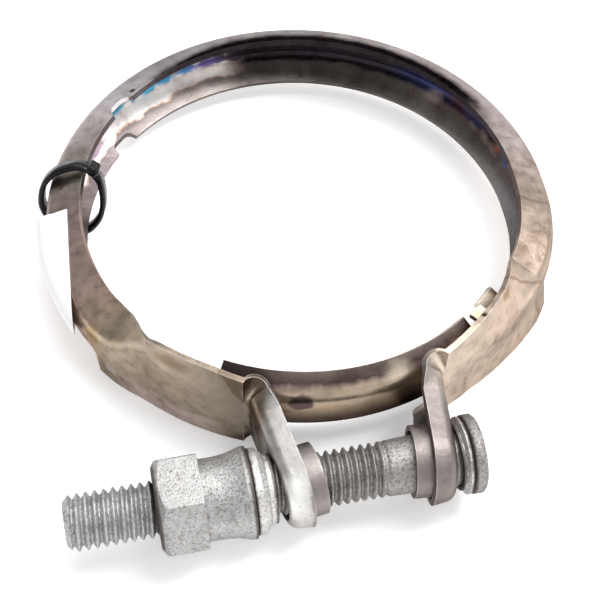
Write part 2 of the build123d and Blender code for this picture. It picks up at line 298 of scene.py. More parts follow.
# The same in the bottom of the groove, and on the lower flank that is seen through the ring
GROOVE_TINTS = (
    (0, (0.13, 0.13, 0.15)), (8, (0.10, 0.12, 0.22)), (17, (0.13, 0.08, 0.07)),
    (26, (0.09, 0.10, 0.24)), (32, (0.10, 0.05, 0.055)), (38, (0.05, 0.06, 0.16)),
    (46, (0.04, 0.05, 0.13)), (54, (0.04, 0.035, 0.045)), (92, (0.022, 0.018, 0.022)),
    (98, (0.06, 0.05, 0.07)), (104, (0.16, 0.12, 0.36)), (110, (0.08, 0.28, 0.56)),
    (128, (0.08, 0.50, 0.72)), (136, (0.35, 0.55, 0.75)), (141, (0.42, 0.28, 0.42)),
    (150, (0.22, 0.17, 0.19)), (165, (0.14, 0.11, 0.105)), (200, (0.10, 0.075, 0.065)),
    (340, (0.10, 0.095, 0.11)),
)
FLANK_TINTS = (
    (0, (0.17, 0.16, 0.165)), (20, (0.23, 0.205, 0.19)), (40, (0.32, 0.29, 0.27)),
    (58, (0.17, 0.15, 0.14)), (85, (0.17, 0.155, 0.145)), (96, (0.17, 0.155, 0.145)),
    (104, (0.30, 0.27, 0.255)), (115, (0.25, 0.22, 0.21)), (128, (0.20, 0.175, 0.17)),
    (143, (0.15, 0.125, 0.13)), (156, (0.11, 0.09, 0.09)), (175, (0.13, 0.105, 0.10)),
    (200, (0.26, 0.205, 0.18)), (340, (0.11, 0.10, 0.105)),
)
GROOVE_START = (37.9 * MM, 38.7 * MM)         # radii over which the flank turns into the groove
INSIDE_TINT_LEFT = (214.0, 196.0)             # azimuths to which the inner tints reach
INSIDE_TINT_RIGHT = (318.0, 344.0)
RAGGED = (3.0 * MM, 0.8 * MM)                 # size and amount of the wobble of tinted borders

# Painted shade, near black, on the inner part of the upper flank at the back: azimuths at which it
# starts and is full, and at which it fades and ends, and its radius where it is full and where it ends
BLACK_RISE = (8.0, 28.0)
BLACK_FADE = (98.0, 122.0)
BLACK_TAIL = 4.0                              # degrees over which its last rest fades
BLACK_RADIUS = (36.6 * MM, 34.6 * MM)
BLACK_EDGE = (-1.9 * MM, 0.4 * MM)
BLACK = (0.018, 0.014, 0.017)

# Cut-off corner of the left arm that is darker, above a line on the strap from
# (azimuth, height) to (azimuth, height)
DARK_CORNER_LINE = ((239.6, 8.7), (250.1, -1.1))
DARK_CORNER_EDGE = (-0.3, 0.5)
DARK_CORNER_ENDS = ((233.0, 239.0), (252.0, 250.0))
DARK_CORNER_STRENGTH = 0.75
DARK_CORNER_COLOUR = (0.17, 0.125, 0.09)

# Rosy lower edge of the left arm
ROSY_HEIGHTS = (-3.0 * MM, -6.0 * MM)
ROSY_ENDS = ((210.0, 216.0), (244.0, 236.0))
ROSY_STRENGTH = 0.7
ROSY = (0.56, 0.46, 0.44)

# Faint line across the right flank, and brown line where that flank opens out, which falls
# behind its azimuth at the ring's outer face by some degrees for each millimetre inwards
PANEL_LINE_AZIMUTH = 348.0
PANEL_LINE_EDGE = (0.7, 0.2)
PANEL_LINE_STRENGTH = 0.55
PANEL_LINE = (0.25, 0.19, 0.16)
CREASE_AZIMUTH = 326.5
CREASE_FALL = 1.7
CREASE_EDGE = (1.0, 0.2)
CREASE_STRENGTH = 0.65
CREASE = (0.30, 0.21, 0.15)
OUTER_RADIUS = 40.4

# Painted highlight on the lower flank at the back left, a white arc with a painted peach fringe along
# its ragged lower
# border and a lilac end: azimuths, radius of that border, and radii of its border to the groove
BRIGHT_ENDS = ((92.0, 100.0), (158.0, 148.0))
BRIGHT_RADIUS = 36.9
BRIGHT_TOP = (39.50 * MM, 38.95 * MM)
BRIGHT_EDGE = (0.0, 0.3)
HIGHLIGHT_WOBBLE = (4.0 * MM, 1.6 * MM)                   # size and amount of the ragged border's wobble
BRIGHT = (1.0, 0.98, 0.96)
FRINGE_EDGE = (-0.35, 0.0)
FRINGE_STRENGTH = 0.8
FRINGE = (0.85, 0.62, 0.50)
LILAC_START = (137.0, 142.0)
LILAC_EDGE = (0.3, 0.9)
LILAC = (0.21, 0.16, 0.19)

# Rim of the upper flank, in shade from the back left to the right
HIGH = (2.5 * MM, 3.1 * MM)                   # heights over which the upper flank begins
RIM_UPWARD = (0.0, 0.25)                      # upward share of the normal on the rim
RIM_LEFT = (172.0, 166.0)
RIM_RIGHT = (330.0, 340.0)
RIM_STRENGTH = 0.9
RIM_PALER = (110.0, 130.0)                    # azimuths over which it turns paler
RIM_DARK = (0.045, 0.035, 0.04)
RIM_PALE = (0.11, 0.085, 0.085)

# Stains and marks on the band, among them painted shade, a painted reflection and a painted highlight:
# centre, reach, softness, strength, colour
BAND_MARKS = (
    ("dark spot at the back left",
     (-23.1, 27.6, 4.9), (0.9, 0.7, 0.8), 0.6, 0.9, (0.05, 0.04, 0.035)),
    ("yellowed foot of the left flank",
     (-35.6, -18.7, 1.2), (3.0, 2.4, 2.6), 0.7, 0.8, (0.36, 0.26, 0.13)),
    ("bare spot on the left arm",
     (-33.6, -21.4, -4.3), (1.6, 1.6, 1.7), 0.6, 0.8, (0.66, 0.60, 0.53)),
    ("smear under the left arm's rim",
     (-25.0, -29.0, 6.4), (5.5, 4.2, 1.9), 0.8, 0.8, (0.19, 0.125, 0.085)),
    # Painted reflection of the bright lug in the concave left bend
    ("painted reflection in the left bend",
     (-14.9, -35.4, 5.0), (1.6, 1.4, 1.9), 0.7, 0.8, (0.44, 0.36, 0.28)),
    ("shade at the foot of the left arm",
     (-14.5, -35.2, -7.6), (5.5, 3.0, 3.0), 0.9, 0.9, (0.07, 0.055, 0.05)),
    ("blue in the right of the groove",
     (37.6, 6.9, -2.7), (0.9, 2.4, 1.0), 0.8, 0.8, (0.12, 0.20, 0.60)),
    ("red spot beside it",
     (37.3, 10.0, -2.7), (0.9, 1.5, 1.1), 0.8, 0.9, (0.55, 0.20, 0.11)),
    ("pink rim of the red spot",
     (36.2, 10.2, -3.1), (0.6, 2.4, 0.8), 0.8, 0.6, (0.50, 0.38, 0.36)),
    ("scale on the right flank",
     (35.6, 13.3, -3.0), (0.8, 2.6, 0.8), 0.8, 0.8, (0.50, 0.46, 0.38)),
    ("scale higher on the right flank",
     (34.4, 16.2, -3.0), (0.8, 1.6, 0.8), 0.8, 0.6, (0.46, 0.43, 0.36)),
    ("scale at the back right",
     (29.4, 24.2, -2.9), (2.8, 2.2, 1.0), 0.8, 0.8, (0.70, 0.63, 0.56)),
    ("rust beside that scale",
     (30.4, 22.4, -3.1), (0.8, 0.8, 0.7), 0.8, 0.7, (0.45, 0.25, 0.18)),
    ("smudge across the right flank",
     (36.7, -6.0, 4.4), (3.4, 0.9, 1.6), 0.8, 0.7, (0.27, 0.21, 0.19)),
    ("brown smudge on the right flank",
     (31.0, -17.6, 5.0), (2.4, 3.2, 1.6), 0.9, 0.7, (0.25, 0.18, 0.14)),
    ("brown spots on the right arm",
     (25.8, -26.6, 6.9), (2.8, 2.0, 1.1), 0.8, 0.8, (0.32, 0.21, 0.12)),
    # Painted shade standing in for a hole beside the upper tab
    ("painted shade of a hole beside the upper tab",
     (21.0, -30.3, 7.6), (0.9, 0.7, 0.9), 0.5, 0.95, (0.035, 0.02, 0.015)),
    # Painted highlight on the low end of the left lug
    ("painted highlight on the low end of the left lug",
     (-12.2, -51.6, 4.0), (4.0, 3.6, 6.0), 0.7, 0.9, (1.0, 0.99, 0.97)),
    ("collar of the left lug",
     (-6.4, -48.15, 0.0), (4.6, 9.0, 9.0), 0.1, 0.95, (0.26, 0.235, 0.225)),
    ("tan face of the upper tab",
     (20.4, -29.4, 6.5), (1.0, 1.0, 0.8), 0.5, 0.8, (0.50, 0.37, 0.24)),
)
BAND_MARK_WOBBLE = (1.2 * MM, 0.55 * MM)

# Clouds, mottle and pits over the whole band, and wear along the edges of its arms
BAND_CLOUDS = ((0.30, (0.74, 0.71, 0.69)), (0.50, (0.97, 0.96, 0.95)), (0.72, (1.14, 1.13, 1.12)))
BAND_MOTTLE = ((0.28, (0.76, 0.74, 0.73)), (0.50, (1.0, 1.0, 1.0)), (0.75, (1.10, 1.10, 1.10)))
BAND_PITS = (0.7 * MM, 0.10)                  # size, and share of the surface
BAND_PIT_STRENGTH = 0.45
BAND_PIT = (0.14, 0.10, 0.08)
ARM_ENDS = ((200.0, 215.0), (345.0, 330.0))
LUG_ENDS = ((250.5, 253.0), (289.0, 286.0))
BAND_WEAR = 0.6
BAND_WORN = (0.74, 0.68, 0.65)
MIDDLE_OF_NOISE = (0.3, 0.7)
BAND_ROUGHNESS = (0.27, 0.42)
LUGS_ROUGHER = 0.14
MOTTLE_BUMP = 0.75
GRAIN_BUMP = 0.25


def painted_back_shade(s, azimuth, radius):
    """Share of the painted shade, near black, on the upper flank."""
    widest, narrowest = BLACK_RADIUS
    deep = s.math("MINIMUM", s.ramp(azimuth, *BLACK_RISE, narrowest, widest),
                  s.ramp(azimuth, *BLACK_FADE, widest, narrowest, smooth=False))
    end = BLACK_FADE[1]
    return s.times(s.ramp(s.minus(deep, radius), *BLACK_EDGE),
                   s.window(azimuth, BLACK_RISE, (end + BLACK_TAIL, end)))


def darker_corner(s, azimuth, height):
    """Share of the darker colour on the left arm's cut-off corner."""
    (low_azimuth, low_height), (high_azimuth, high_height) = DARK_CORNER_LINE
    slope = (high_height - low_height) / (high_azimuth - low_azimuth)
    over = s.minus(s.in_mm(height), low_height)
    over = s.minus(over, s.times(s.minus(azimuth, low_azimuth), slope))
    return s.times(s.ramp(over, *DARK_CORNER_EDGE), s.window(azimuth, *DARK_CORNER_ENDS), DARK_CORNER_STRENGTH)


def crease_line(s, azimuth, radius):
    """Share of the brown line where the right flank opens out."""
    inset = s.minus(OUTER_RADIUS, s.in_mm(radius))
    behind = s.plus(s.minus(azimuth, CREASE_AZIMUTH), s.times(inset, CREASE_FALL))
    return s.ramp(s.math("ABSOLUTE", behind), *CREASE_EDGE, 0.0, CREASE_STRENGTH)


def outside_colour(s, azimuth, radius, height):
    """Colour of the faces that look outwards, with the lugs' painted light and the painted shade at the
    back of the upper flank.
    """
    colour = by_azimuth(s, azimuth, OUTER_TINTS_AND_LUG_LIGHT)
    colour = s.mix(painted_back_shade(s, azimuth, radius), colour, BLACK)
    colour = s.mix(darker_corner(s, azimuth, height), colour, DARK_CORNER_COLOUR)
    rosy = s.times(s.ramp(height, *ROSY_HEIGHTS, 0.0, ROSY_STRENGTH), s.window(azimuth, *ROSY_ENDS))
    colour = s.mix(rosy, colour, ROSY)
    from_line = s.away(azimuth, PANEL_LINE_AZIMUTH)
    colour = s.mix(s.ramp(from_line, *PANEL_LINE_EDGE, 0.0, PANEL_LINE_STRENGTH), colour, PANEL_LINE)
    return s.mix(crease_line(s, azimuth, radius), colour, CREASE)


def add_bright_arc(s, colour, azimuth, radius):
    """Adds the painted highlight on the lower flank, an arc with its fringe and its lilac end."""
    arc = s.times(s.window(azimuth, *BRIGHT_ENDS), s.ramp(radius, *BRIGHT_TOP))
    wobbled_radius = round_ring(s, s.wobbled(*HIGHLIGHT_WOBBLE))[1]
    above = s.minus(s.in_mm(wobbled_radius), BRIGHT_RADIUS)
    fringe = s.ramp(above, *FRINGE_EDGE, 0.0, FRINGE_STRENGTH)
    colour = s.mix(s.times(fringe, arc), colour, FRINGE)
    lilac = s.times(s.ramp(azimuth, *LILAC_START), s.ramp(above, *LILAC_EDGE))
    highlight = s.mix(lilac, BRIGHT, LILAC)
    return s.mix(s.times(s.ramp(above, *BRIGHT_EDGE), arc), colour, highlight)


def inside_colour(s, azimuth, radius, outside):
    """Colour of the faces that look at the ring's centre, with the painted highlight on the lower
    flank.
    """
    groove = by_azimuth(s, azimuth, GROOVE_TINTS)
    flank = by_azimuth(s, azimuth, FLANK_TINTS)
    colour = s.mix(s.ramp(radius, *GROOVE_START), flank, groove)
    colour = add_bright_arc(s, colour, azimuth, radius)
    tinted = s.plus(s.ramp(azimuth, *INSIDE_TINT_LEFT), s.ramp(azimuth, *INSIDE_TINT_RIGHT), clamp=True)
    return s.mix(tinted, outside, colour)


def rim_shade(s, azimuth, high, out):
    """Share of the shade on the upper flank's rim, and its colour."""
    upward = s.ramp(s.split(s.normal)[2], *RIM_UPWARD)
    rim = s.times(high, upward, s.minus(1.0, out))
    ends = s.plus(s.ramp(azimuth, *RIM_LEFT), s.ramp(azimuth, *RIM_RIGHT), clamp=True)
    tint = s.mix(s.ramp(azimuth, *RIM_PALER), RIM_DARK, RIM_PALE)
    return s.times(rim, ends, RIM_STRENGTH), tint


def band_colour(s, azimuth, radius, height):
    """Heat tints of the strip with its painted highlight, painted shade and the lugs' painted light,
    before its dirt and wear.
    """
    out = facing_out(s)
    high = s.ramp(height, *HIGH)
    outside = outside_colour(s, azimuth, radius, height)
    inside = inside_colour(s, azimuth, radius, outside)
    colour = s.mix(s.math("MAXIMUM", out, high), inside, outside)
    shade, tint = rim_shade(s, azimuth, high, out)
    return s.mix(shade, colour, tint)


def band_material():
    """Stainless strip, heat-tinted and stained by its life on an exhaust, with painted highlights, a
    painted reflection and painted shade.
    """
    s = Shader("heat_tinted_band_and_painted_light", metallic=1.0, roughness=0.34)
    azimuth, radius, height = round_ring(s, s.wobbled(*RAGGED))
    clouds = s.noise(6.5 * MM, detail=4, rough=0.6)
    mottle = s.noise(1.6 * MM, detail=5, rough=0.65)
    grain = s.noise(0.22 * MM, detail=2)

    colour = band_colour(s, azimuth, radius, height)
    colour = s.shade(colour, s.colours(clouds, *BAND_CLOUDS))
    colour = s.shade(colour, s.colours(mottle, *BAND_MOTTLE))
    colour = add_marks(s, colour, BAND_MARKS, s.wobbled(*BAND_MARK_WOBBLE))
    colour = s.mix(s.times(s.specks(*BAND_PITS), BAND_PIT_STRENGTH), colour, BAND_PIT)
    arms = s.window(azimuth, *ARM_ENDS)
    wear = s.times(worn_edge(s), s.ramp(arms, 0.0, 1.0, 0.0, BAND_WEAR))
    colour = s.mix(wear, colour, BAND_WORN)

    lugs = s.window(azimuth, *LUG_ENDS)
    rough = s.plus(s.ramp(mottle, *MIDDLE_OF_NOISE, *BAND_ROUGHNESS), s.times(lugs, LUGS_ROUGHER))
    bump = s.plus(s.times(mottle, MOTTLE_BUMP), s.times(grain, GRAIN_BUMP))
    return s.finish(colour, rough, bump, 0.10 * MM, edge=0.12 * MM)


# Insert

# Colours by height in millimetres, from the lower edge over the web and the fold to the rim: darker
# towards the lower edge, a painted highlight high on the web and painted shade in the crease of the
# fold
INSERT_TINTS_AND_LIGHT = (
    (-6.00, (0.05, 0.035, 0.035)), (-1.68, (0.09, 0.065, 0.055)), (-0.60, (0.17, 0.13, 0.10)),
    (0.48, (0.30, 0.23, 0.165)), (1.68, (0.48, 0.37, 0.27)), (3.12, (0.64, 0.52, 0.39)),
    (4.08, (0.46, 0.36, 0.27)), (4.416, (0.22, 0.165, 0.145)), (4.62, (0.09, 0.065, 0.06)),
    (4.92, (0.13, 0.10, 0.09)), (5.34, (0.17, 0.135, 0.12)),
)
INSERT_HEIGHTS = (-6.0, 6.0)
INSERT_RAGGED = (1.5 * MM, 0.35 * MM)
INSERT_MARKS = (
    ("dark blot beside the left lug",
     (-7.6, -36.9, 2.4), (2.3, 1.6, 1.9), 0.35, 0.9, (0.10, 0.065, 0.075)),
    ("its smear down to the left",
     (-10.2, -36.4, 0.3), (3.0, 1.6, 1.2), 0.9, 0.7, (0.14, 0.10, 0.09)),
    ("shade beside the right lug",
     (11.6, -36.0, 2.8), (2.2, 3.0, 6.0), 0.8, 0.85, (0.10, 0.07, 0.06)),
    # Painted highlights on the insert's web
    ("painted highlight before it",
     (7.4, -35.6, 4.3), (3.4, 3.0, 2.2), 0.9, 0.7, (0.70, 0.60, 0.48)),
    ("soft painted highlight on the web",
     (0.5, -37.3, 2.6), (5.0, 2.0, 1.8), 0.9, 0.5, (0.66, 0.57, 0.45)),
    ("dark free end",
     (-17.0, -31.0, 4.8), (7.0, 4.5, 3.0), 0.5, 0.9, (0.05, 0.036, 0.036)),
    ("purple below the crease",
     (-10.5, -35.0, 4.0), (5.0, 3.0, 0.9), 0.9, 0.5, (0.22, 0.14, 0.16)),
    ("bright end at the tabs",
     (22.3, -26.5, 5.0), (3.2, 3.2, 2.0), 0.5, 0.8, (0.80, 0.73, 0.62)),
)
INSERT_MARK_WOBBLE = (1.2 * MM, 0.5 * MM)
INSERT_CLOUDS = ((0.30, (0.78, 0.76, 0.75)), (0.50, (1.0, 1.0, 1.0)), (0.72, (1.12, 1.12, 1.12)))
INSERT_WEAR = 0.6
INSERT_WORN = (0.78, 0.70, 0.60)
INSERT_ROUGHNESS = (0.24, 0.36)


def insert_material():
    """Stainless insert, tinted bronze, with painted highlights on its web and painted shade in the
    crease of its fold.
    """
    s = Shader("bronze_tinted_insert_and_painted_light", metallic=1.0, roughness=0.3)
    height = round_ring(s, s.wobbled(*INSERT_RAGGED))[2]
    clouds = s.noise(4 * MM, detail=4)
    grain = s.noise(0.3 * MM, detail=2)
    low, high = INSERT_HEIGHTS
    stops = [((level - low) / (high - low), tint) for level, tint in INSERT_TINTS_AND_LIGHT]
    colour = s.colours(s.ramp(height, low * MM, high * MM, smooth=False), *stops)
    colour = s.shade(colour, s.colours(clouds, *INSERT_CLOUDS))
    colour = add_marks(s, colour, INSERT_MARKS, s.wobbled(*INSERT_MARK_WOBBLE))
    colour = s.mix(s.times(worn_edge(s), INSERT_WEAR), colour, INSERT_WORN)
    rough = s.ramp(clouds, *MIDDLE_OF_NOISE, *INSERT_ROUGHNESS)
    return s.finish(colour, rough, grain, 0.02 * MM, edge=0.12 * MM)


# Fasteners

SPECKLE_STOPS = (0.36, 0.50, 0.70)            # noise of the dark, the light and the lightest grey
LIGHTEST = 1.25                               # lightest grey, as a multiple of the light one
FASTENER_CLOUDS = ((0.3, (0.72, 0.72, 0.71)), (0.55, (1.0, 1.0, 1.0)))
WORN_GREY = (0.66, 0.62, 0.60)
DEPOSIT_EDGE = (0.64, 0.76)                   # noise at which deposits start and are full
DEPOSIT_SPECKLE = (0.3, 0.6)
DEPOSIT_STRENGTH = (0.25, 0.85)
DEPOSIT = (0.17, 0.115, 0.095)
SEAM_WOBBLE = (1.5 * MM, 0.25 * MM)
SEAM_EDGE = (0.55, 0.2)
SEAM_STRENGTH = 0.85
SEAM_DIRT = (0.075, 0.055, 0.05)
FASTENER_PITS = (0.40 * MM, 0.20)
FASTENER_PIT_STRENGTH = 0.35
FASTENER_PIT = (0.12, 0.105, 0.10)
FASTENER_PIT_BUMP = 0.8
FASTENER_ROUGHNESS = (0.38, 0.55)


def add_seams(s, colour, seams):
    """Adds the dirt that has settled between two pieces, at places along X."""
    along = s.in_mm(s.split(s.wobbled(*SEAM_WOBBLE))[0])
    for seam in seams:
        share = s.ramp(s.away(along, seam), *SEAM_EDGE, 0.0, SEAM_STRENGTH)
        colour = s.mix(share, colour, SEAM_DIRT)
    return colour


def fastener_material(name, light, dark, deposits, seams, worn_x=None):
    """Rough grey zinc flake, pitted, with a share of brown deposits and dirt in its seams.

    seams are places along X in millimetres, and worn_x is the stretch along X over which the
    coating darkens.
    """
    s = Shader(name, metallic=0.8, roughness=0.45)
    speckle = s.noise(0.34 * MM, detail=4, rough=0.65)
    clouds = s.noise(2.6 * MM, detail=5, rough=0.65)
    lightest = tuple(min(LIGHTEST * channel, 1) for channel in light)
    colour = s.colours(speckle, *zip(SPECKLE_STOPS, (dark, light, lightest)))
    colour = s.shade(colour, s.colours(clouds, *FASTENER_CLOUDS))
    if worn_x is not None:
        fresh, worn = worn_x
        along = s.ramp(s.split(s.place)[0], fresh * MM, worn * MM)
        colour = s.mix(along, colour, s.shade(colour, WORN_GREY))
    deposit = s.times(s.ramp(clouds, *(edge - deposits for edge in DEPOSIT_EDGE)),
                      s.ramp(speckle, *DEPOSIT_SPECKLE, *DEPOSIT_STRENGTH))
    colour = s.mix(deposit, colour, DEPOSIT)
    colour = add_seams(s, colour, seams)
    pits = s.specks(*FASTENER_PITS)
    colour = s.mix(s.times(pits, FASTENER_PIT_STRENGTH), colour, FASTENER_PIT)
    rough = s.ramp(speckle, *MIDDLE_OF_NOISE, *FASTENER_ROUGHNESS)
    bump = s.minus(speckle, s.times(pits, FASTENER_PIT_BUMP))
    return s.finish(colour, rough, bump, 0.10 * MM, edge=0.15 * MM)


# Nylon and paper

NYLON_TINTS = ((0.3, (0.004, 0.004, 0.005)), (0.8, (0.012, 0.012, 0.015)))
NYLON_ROUGHNESS = (0.18, 0.32)
PAPER_TINTS = ((0.3, (0.86, 0.86, 0.855)), (0.7, (0.92, 0.92, 0.915)))
PAPER_ROUGHNESS = 0.7


def tie_material():
    s = Shader("black_nylon", metallic=0.0, roughness=0.28)
    haze = s.noise(1.2 * MM, detail=3)
    rough = s.ramp(haze, *MIDDLE_OF_NOISE, *NYLON_ROUGHNESS)
    return s.finish(s.colours(haze, *NYLON_TINTS), rough, haze, 0.02 * MM)


def label_material():
    s = Shader("white_paper", metallic=0.0, roughness=PAPER_ROUGHNESS)
    fibres = s.noise(0.3 * MM, detail=4)
    return s.finish(s.colours(fibres, *PAPER_TINTS), PAPER_ROUGHNESS, fibres, 0.01 * MM)


def new_piece(name, mesh, material):
    """Object with a finished mesh, smooth but for its sharp edges."""
    bmesh.ops.recalc_face_normals(mesh, faces=mesh.faces)
    data = bpy.data.meshes.new(name)
    mesh.to_mesh(data)
    mesh.free()
    data.shade_smooth()
    piece = bpy.data.objects.new(name, data)
    bpy.context.scene.collection.objects.link(piece)
    split = piece.modifiers.new("edges", "EDGE_SPLIT")
    split.split_angle = SHARP_ANGLE
    piece.data.materials.append(material)
    return piece


# Bolt with its thread

THREAD_PITCH = 1.25 * MM
CREST_RADIUS = 3.95 * MM
ROOT_RADIUS = 3.24 * MM
CREST_SHARE = 0.16            # flat crest, and each flank, as shares of half a pitch
FLANK_SHARE = 0.68
THREAD_START = 2.7 * MM       # where it runs out into the neck
RUN_OUT = 1.5 * THREAD_PITCH
NECK_END = 6.3 * MM
NECK_RADIUS = 4.1 * MM
TIP_CHAMFER = 0.9 * MM
HEAD_THICKNESS = 1.9 * MM
HEAD_EDGE = 0.35 * MM
SIDES = 72                    # points round the bolt
RINGS_PER_PITCH = 12


def thread_radius(x, turn):
    """Radius of the threaded bolt at a distance along X and an angle, in turns."""
    phase = (x / THREAD_PITCH + turn) % 1.0
    ridge = abs(phase - 0.5) * 2
    depth = min(max((ridge - CREST_SHARE) / FLANK_SHARE, 0), 1)
    return CREST_RADIUS - (CREST_RADIUS - ROOT_RADIUS) * depth


def shank_radius(x, turn):
    """Radius of the bolt below its head: tip, thread, run-out and neck."""
    fade = min(max((THREAD_START - x) / RUN_OUT, 0), 1)
    thread = CREST_RADIUS + (thread_radius(x, turn) - CREST_RADIUS) * fade
    if x < bolt_low.x + TIP_CHAMFER:
        return min(thread, CREST_RADIUS - TIP_CHAMFER + (x - bolt_low.x))
    if x < THREAD_START:
        return thread
    share = min((x - THREAD_START) / (NECK_END - THREAD_START), 1)
    return CREST_RADIUS + (NECK_RADIUS - CREST_RADIUS) * share


def bolt_rings():
    """Rings of (x, radius) along the bolt, each with SIDES points."""
    head = bolt_high.x - HEAD_THICKNESS
    steps = int((head - bolt_low.x) / THREAD_PITCH * RINGS_PER_PITCH)
    rings = []
    for step in range(steps + 1):
        x = bolt_low.x + (head - bolt_low.x) * step / steps
        rings.append([(x, shank_radius(x, side / SIDES)) for side in range(SIDES)])
    head_radius = (bolt_high.z - bolt_low.z) / 2
    for x, radius in ((head, head_radius - HEAD_EDGE), (head + HEAD_EDGE, head_radius),
                      (bolt_high.x - HEAD_EDGE, head_radius),
                      (bolt_high.x, head_radius - HEAD_EDGE)):
        rings.append([(x, radius)] * SIDES)
    return rings


def make_bolt(material):
    """Bolt turned round its axis, ring of points by ring of points."""
    mesh = bmesh.new()
    rows = []
    for ring in bolt_rings():
        row = []
        for side, (x, radius) in enumerate(ring):
            angle = 2 * pi * side / SIDES
            row.append(mesh.verts.new((x, bolt_y + radius * cos(angle), radius * sin(angle))))
        rows.append(row)
    for row, after in zip(rows, rows[1:]):
        for side in range(SIDES):
            other = (side + 1) % SIDES
            mesh.faces.new((row[side], after[side], after[other], row[other]))
    mesh.faces.new(rows[0])
    mesh.faces.new(list(reversed(rows[-1])))
    return new_piece("threaded_bolt", mesh, material)


# Cable tie

TIE_AZIMUTH = 164.5
TIE_TILT = 15.0
TIE_MIDDLE = 39.95 * MM       # radius of the middle of the ring's sheet
TIE_WIDTH = 2.4 * MM
TIE_THICKNESS = 0.9 * MM
TIE_CORNER = 0.25 * MM
# Run of the slack loop round the ring's section, outwards and up, in millimetres
TIE_RUN = (
    (1.9, -1.8), (1.9, 0.6), (1.2, 2.9), (-0.4, 4.8), (-2.4, 5.9), (-4.5, 6.4), (-6.5, 5.6),
    (-7.7, 3.9), (-8.1, 1.6), (-8.0, -1.0), (-7.2, -3.6), (-5.2, -5.9), (-2.6, -5.9), (0.6, -4.2),
)
TIE_STEPS = 8                 # sections between two points of the run
TIE_HEAD_AT = 6               # point of the run at which the head sits
TIE_HEAD = (2.0 * MM, 1.7 * MM, 2.9 * MM)     # along the strap, off it and across it
TIE_HEAD_ROUND = 0.6 * MM
TIE_HEAD_SEGMENTS = 4


def smooth_run(points, steps):
    """Closed Catmull-Rom curve through points, as places with their directions."""
    run = []
    count = len(points)
    for index in range(count):
        before, start, end, after = (Vector(points[(index + k) % count]) for k in (-1, 0, 1, 2))
        square = 2 * before - 5 * start + 4 * end - after
        cube = 3 * start - before - 3 * end + after
        for step in range(steps):
            t = step / steps
            place = 0.5 * (2 * start + (end - before) * t + square * t ** 2 + cube * t ** 3)
            slope = 0.5 * ((end - before) + 2 * square * t + 3 * cube * t ** 2)
            run.append((place, slope.normalized()))
    return run


def tie_plane():
    """Middle of the sheet inside the loop, and the plane's outward, upward and side directions."""
    angle, tilt = radians(TIE_AZIMUTH), radians(TIE_TILT)
    outward = Vector((cos(angle), sin(angle), 0))
    side = Vector((sin(angle), -cos(angle), 0))
    up = Vector((0, 0, 1))
    return (outward * TIE_MIDDLE, outward, up * cos(tilt) + side * sin(tilt),
            side * cos(tilt) - up * sin(tilt))


def tie_section():
    """Strap's section with cut corners, as places across its width and its thickness."""
    half_w, half_t = TIE_WIDTH / 2, TIE_THICKNESS / 2
    in_w, in_t = half_w - TIE_CORNER, half_t - TIE_CORNER
    return [(in_w, half_t), (half_w, in_t), (half_w, -in_t), (in_w, -half_t),
            (-in_w, -half_t), (-half_w, -in_t), (-half_w, in_t), (-in_w, half_t)]


def add_strap(mesh, run):
    origin, outward, up, side = tie_plane()
    section = tie_section()
    rows = []
    for place, slope in run:
        middle = origin + (outward * place.x + up * place.y) * MM
        across = outward * slope.y - up * slope.x
        rows.append([mesh.verts.new(middle + side * w + across * t) for w, t in section])
    for row, after in zip(rows, rows[1:] + rows[:1]):
        for index in range(len(section)):
            other = (index + 1) % len(section)
            mesh.faces.new((row[index], row[other], after[other], after[index]))


def add_tie_head(mesh, run):
    """Rounded block that stands up from the strap."""
    origin, outward, up, side = tie_plane()
    place, slope = run[TIE_HEAD_AT * TIE_STEPS]
    along = outward * slope.x + up * slope.y
    across = up * slope.x - outward * slope.y
    if across.dot(up) < 0:
        across = -across
    length, depth, width = TIE_HEAD
    middle = origin + (outward * place.x + up * place.y) * MM + across * (depth - TIE_THICKNESS) / 2
    turn = Matrix((along, across, side)).transposed().to_4x4()
    block = Matrix.Translation(middle) @ turn @ Matrix.Diagonal((length, depth, width, 1))
    cube = bmesh.ops.create_cube(mesh, size=1.0, matrix=block)
    edges = {edge for vert in cube["verts"] for edge in vert.link_edges}
    bmesh.ops.bevel(mesh, geom=list(edges), offset=TIE_HEAD_ROUND, segments=TIE_HEAD_SEGMENTS,
                    affect="EDGES", profile=0.5)


def make_tie(material):
    """Slack loop of strap with its locking head."""
    mesh = bmesh.new()
    run = smooth_run(TIE_RUN, TIE_STEPS)
    add_strap(mesh, run)
    add_tie_head(mesh, run)
    return new_piece("nylon_tie", mesh, material)


# Stage, light and camera

FLOOR_REACH = 3.0
FLOOR_COLOUR = (0.93, 0.93, 0.93, 1)
FLOOR_GLOW = 0.3
FLOOR_SHINE = 0.1
# Brightness of the room by direction, from the left (-X) to the right (+X)
ROOM_LEFT = 0.45
ROOM_RIGHT = 0.95
ROOM_SIDE = 0.8               # sideways share of the directions that are fully left or right
WHITE = (1, 1, 1, 1)
# Round lamps: name, place, target, size and power
LIGHTS = (
    ("window", (0.37, 0.09, 0.60), (0, 0, 0), 0.34, 3.0),
    ("skylight", (0.02, 0.32, 0.62), (0, -0.02, 0), 0.44, 1.5),
    ("strip", (0.20, -0.05, 0.66), (-0.015, 0.03, 0), 0.22, 1.0),
    ("fill", (-0.30, -0.50, 0.45), (0, -0.02, 0), 0.40, 0.4),
)
# The camera that the photograph was taken with, fitted to the clamp's outline
CAMERA_PLACE = (-0.03241, -0.13222, 0.16322)
CAMERA_FORWARD = (0.1399, 0.5745, -0.8064)
CAMERA_RIGHT = (0.9787, -0.2041, 0.0244)
FOCAL_PIXELS = 1308.89
FRAME_PIXELS = 589
SENSOR_WIDTH = 36.0
CLIP = (0.005, 20)


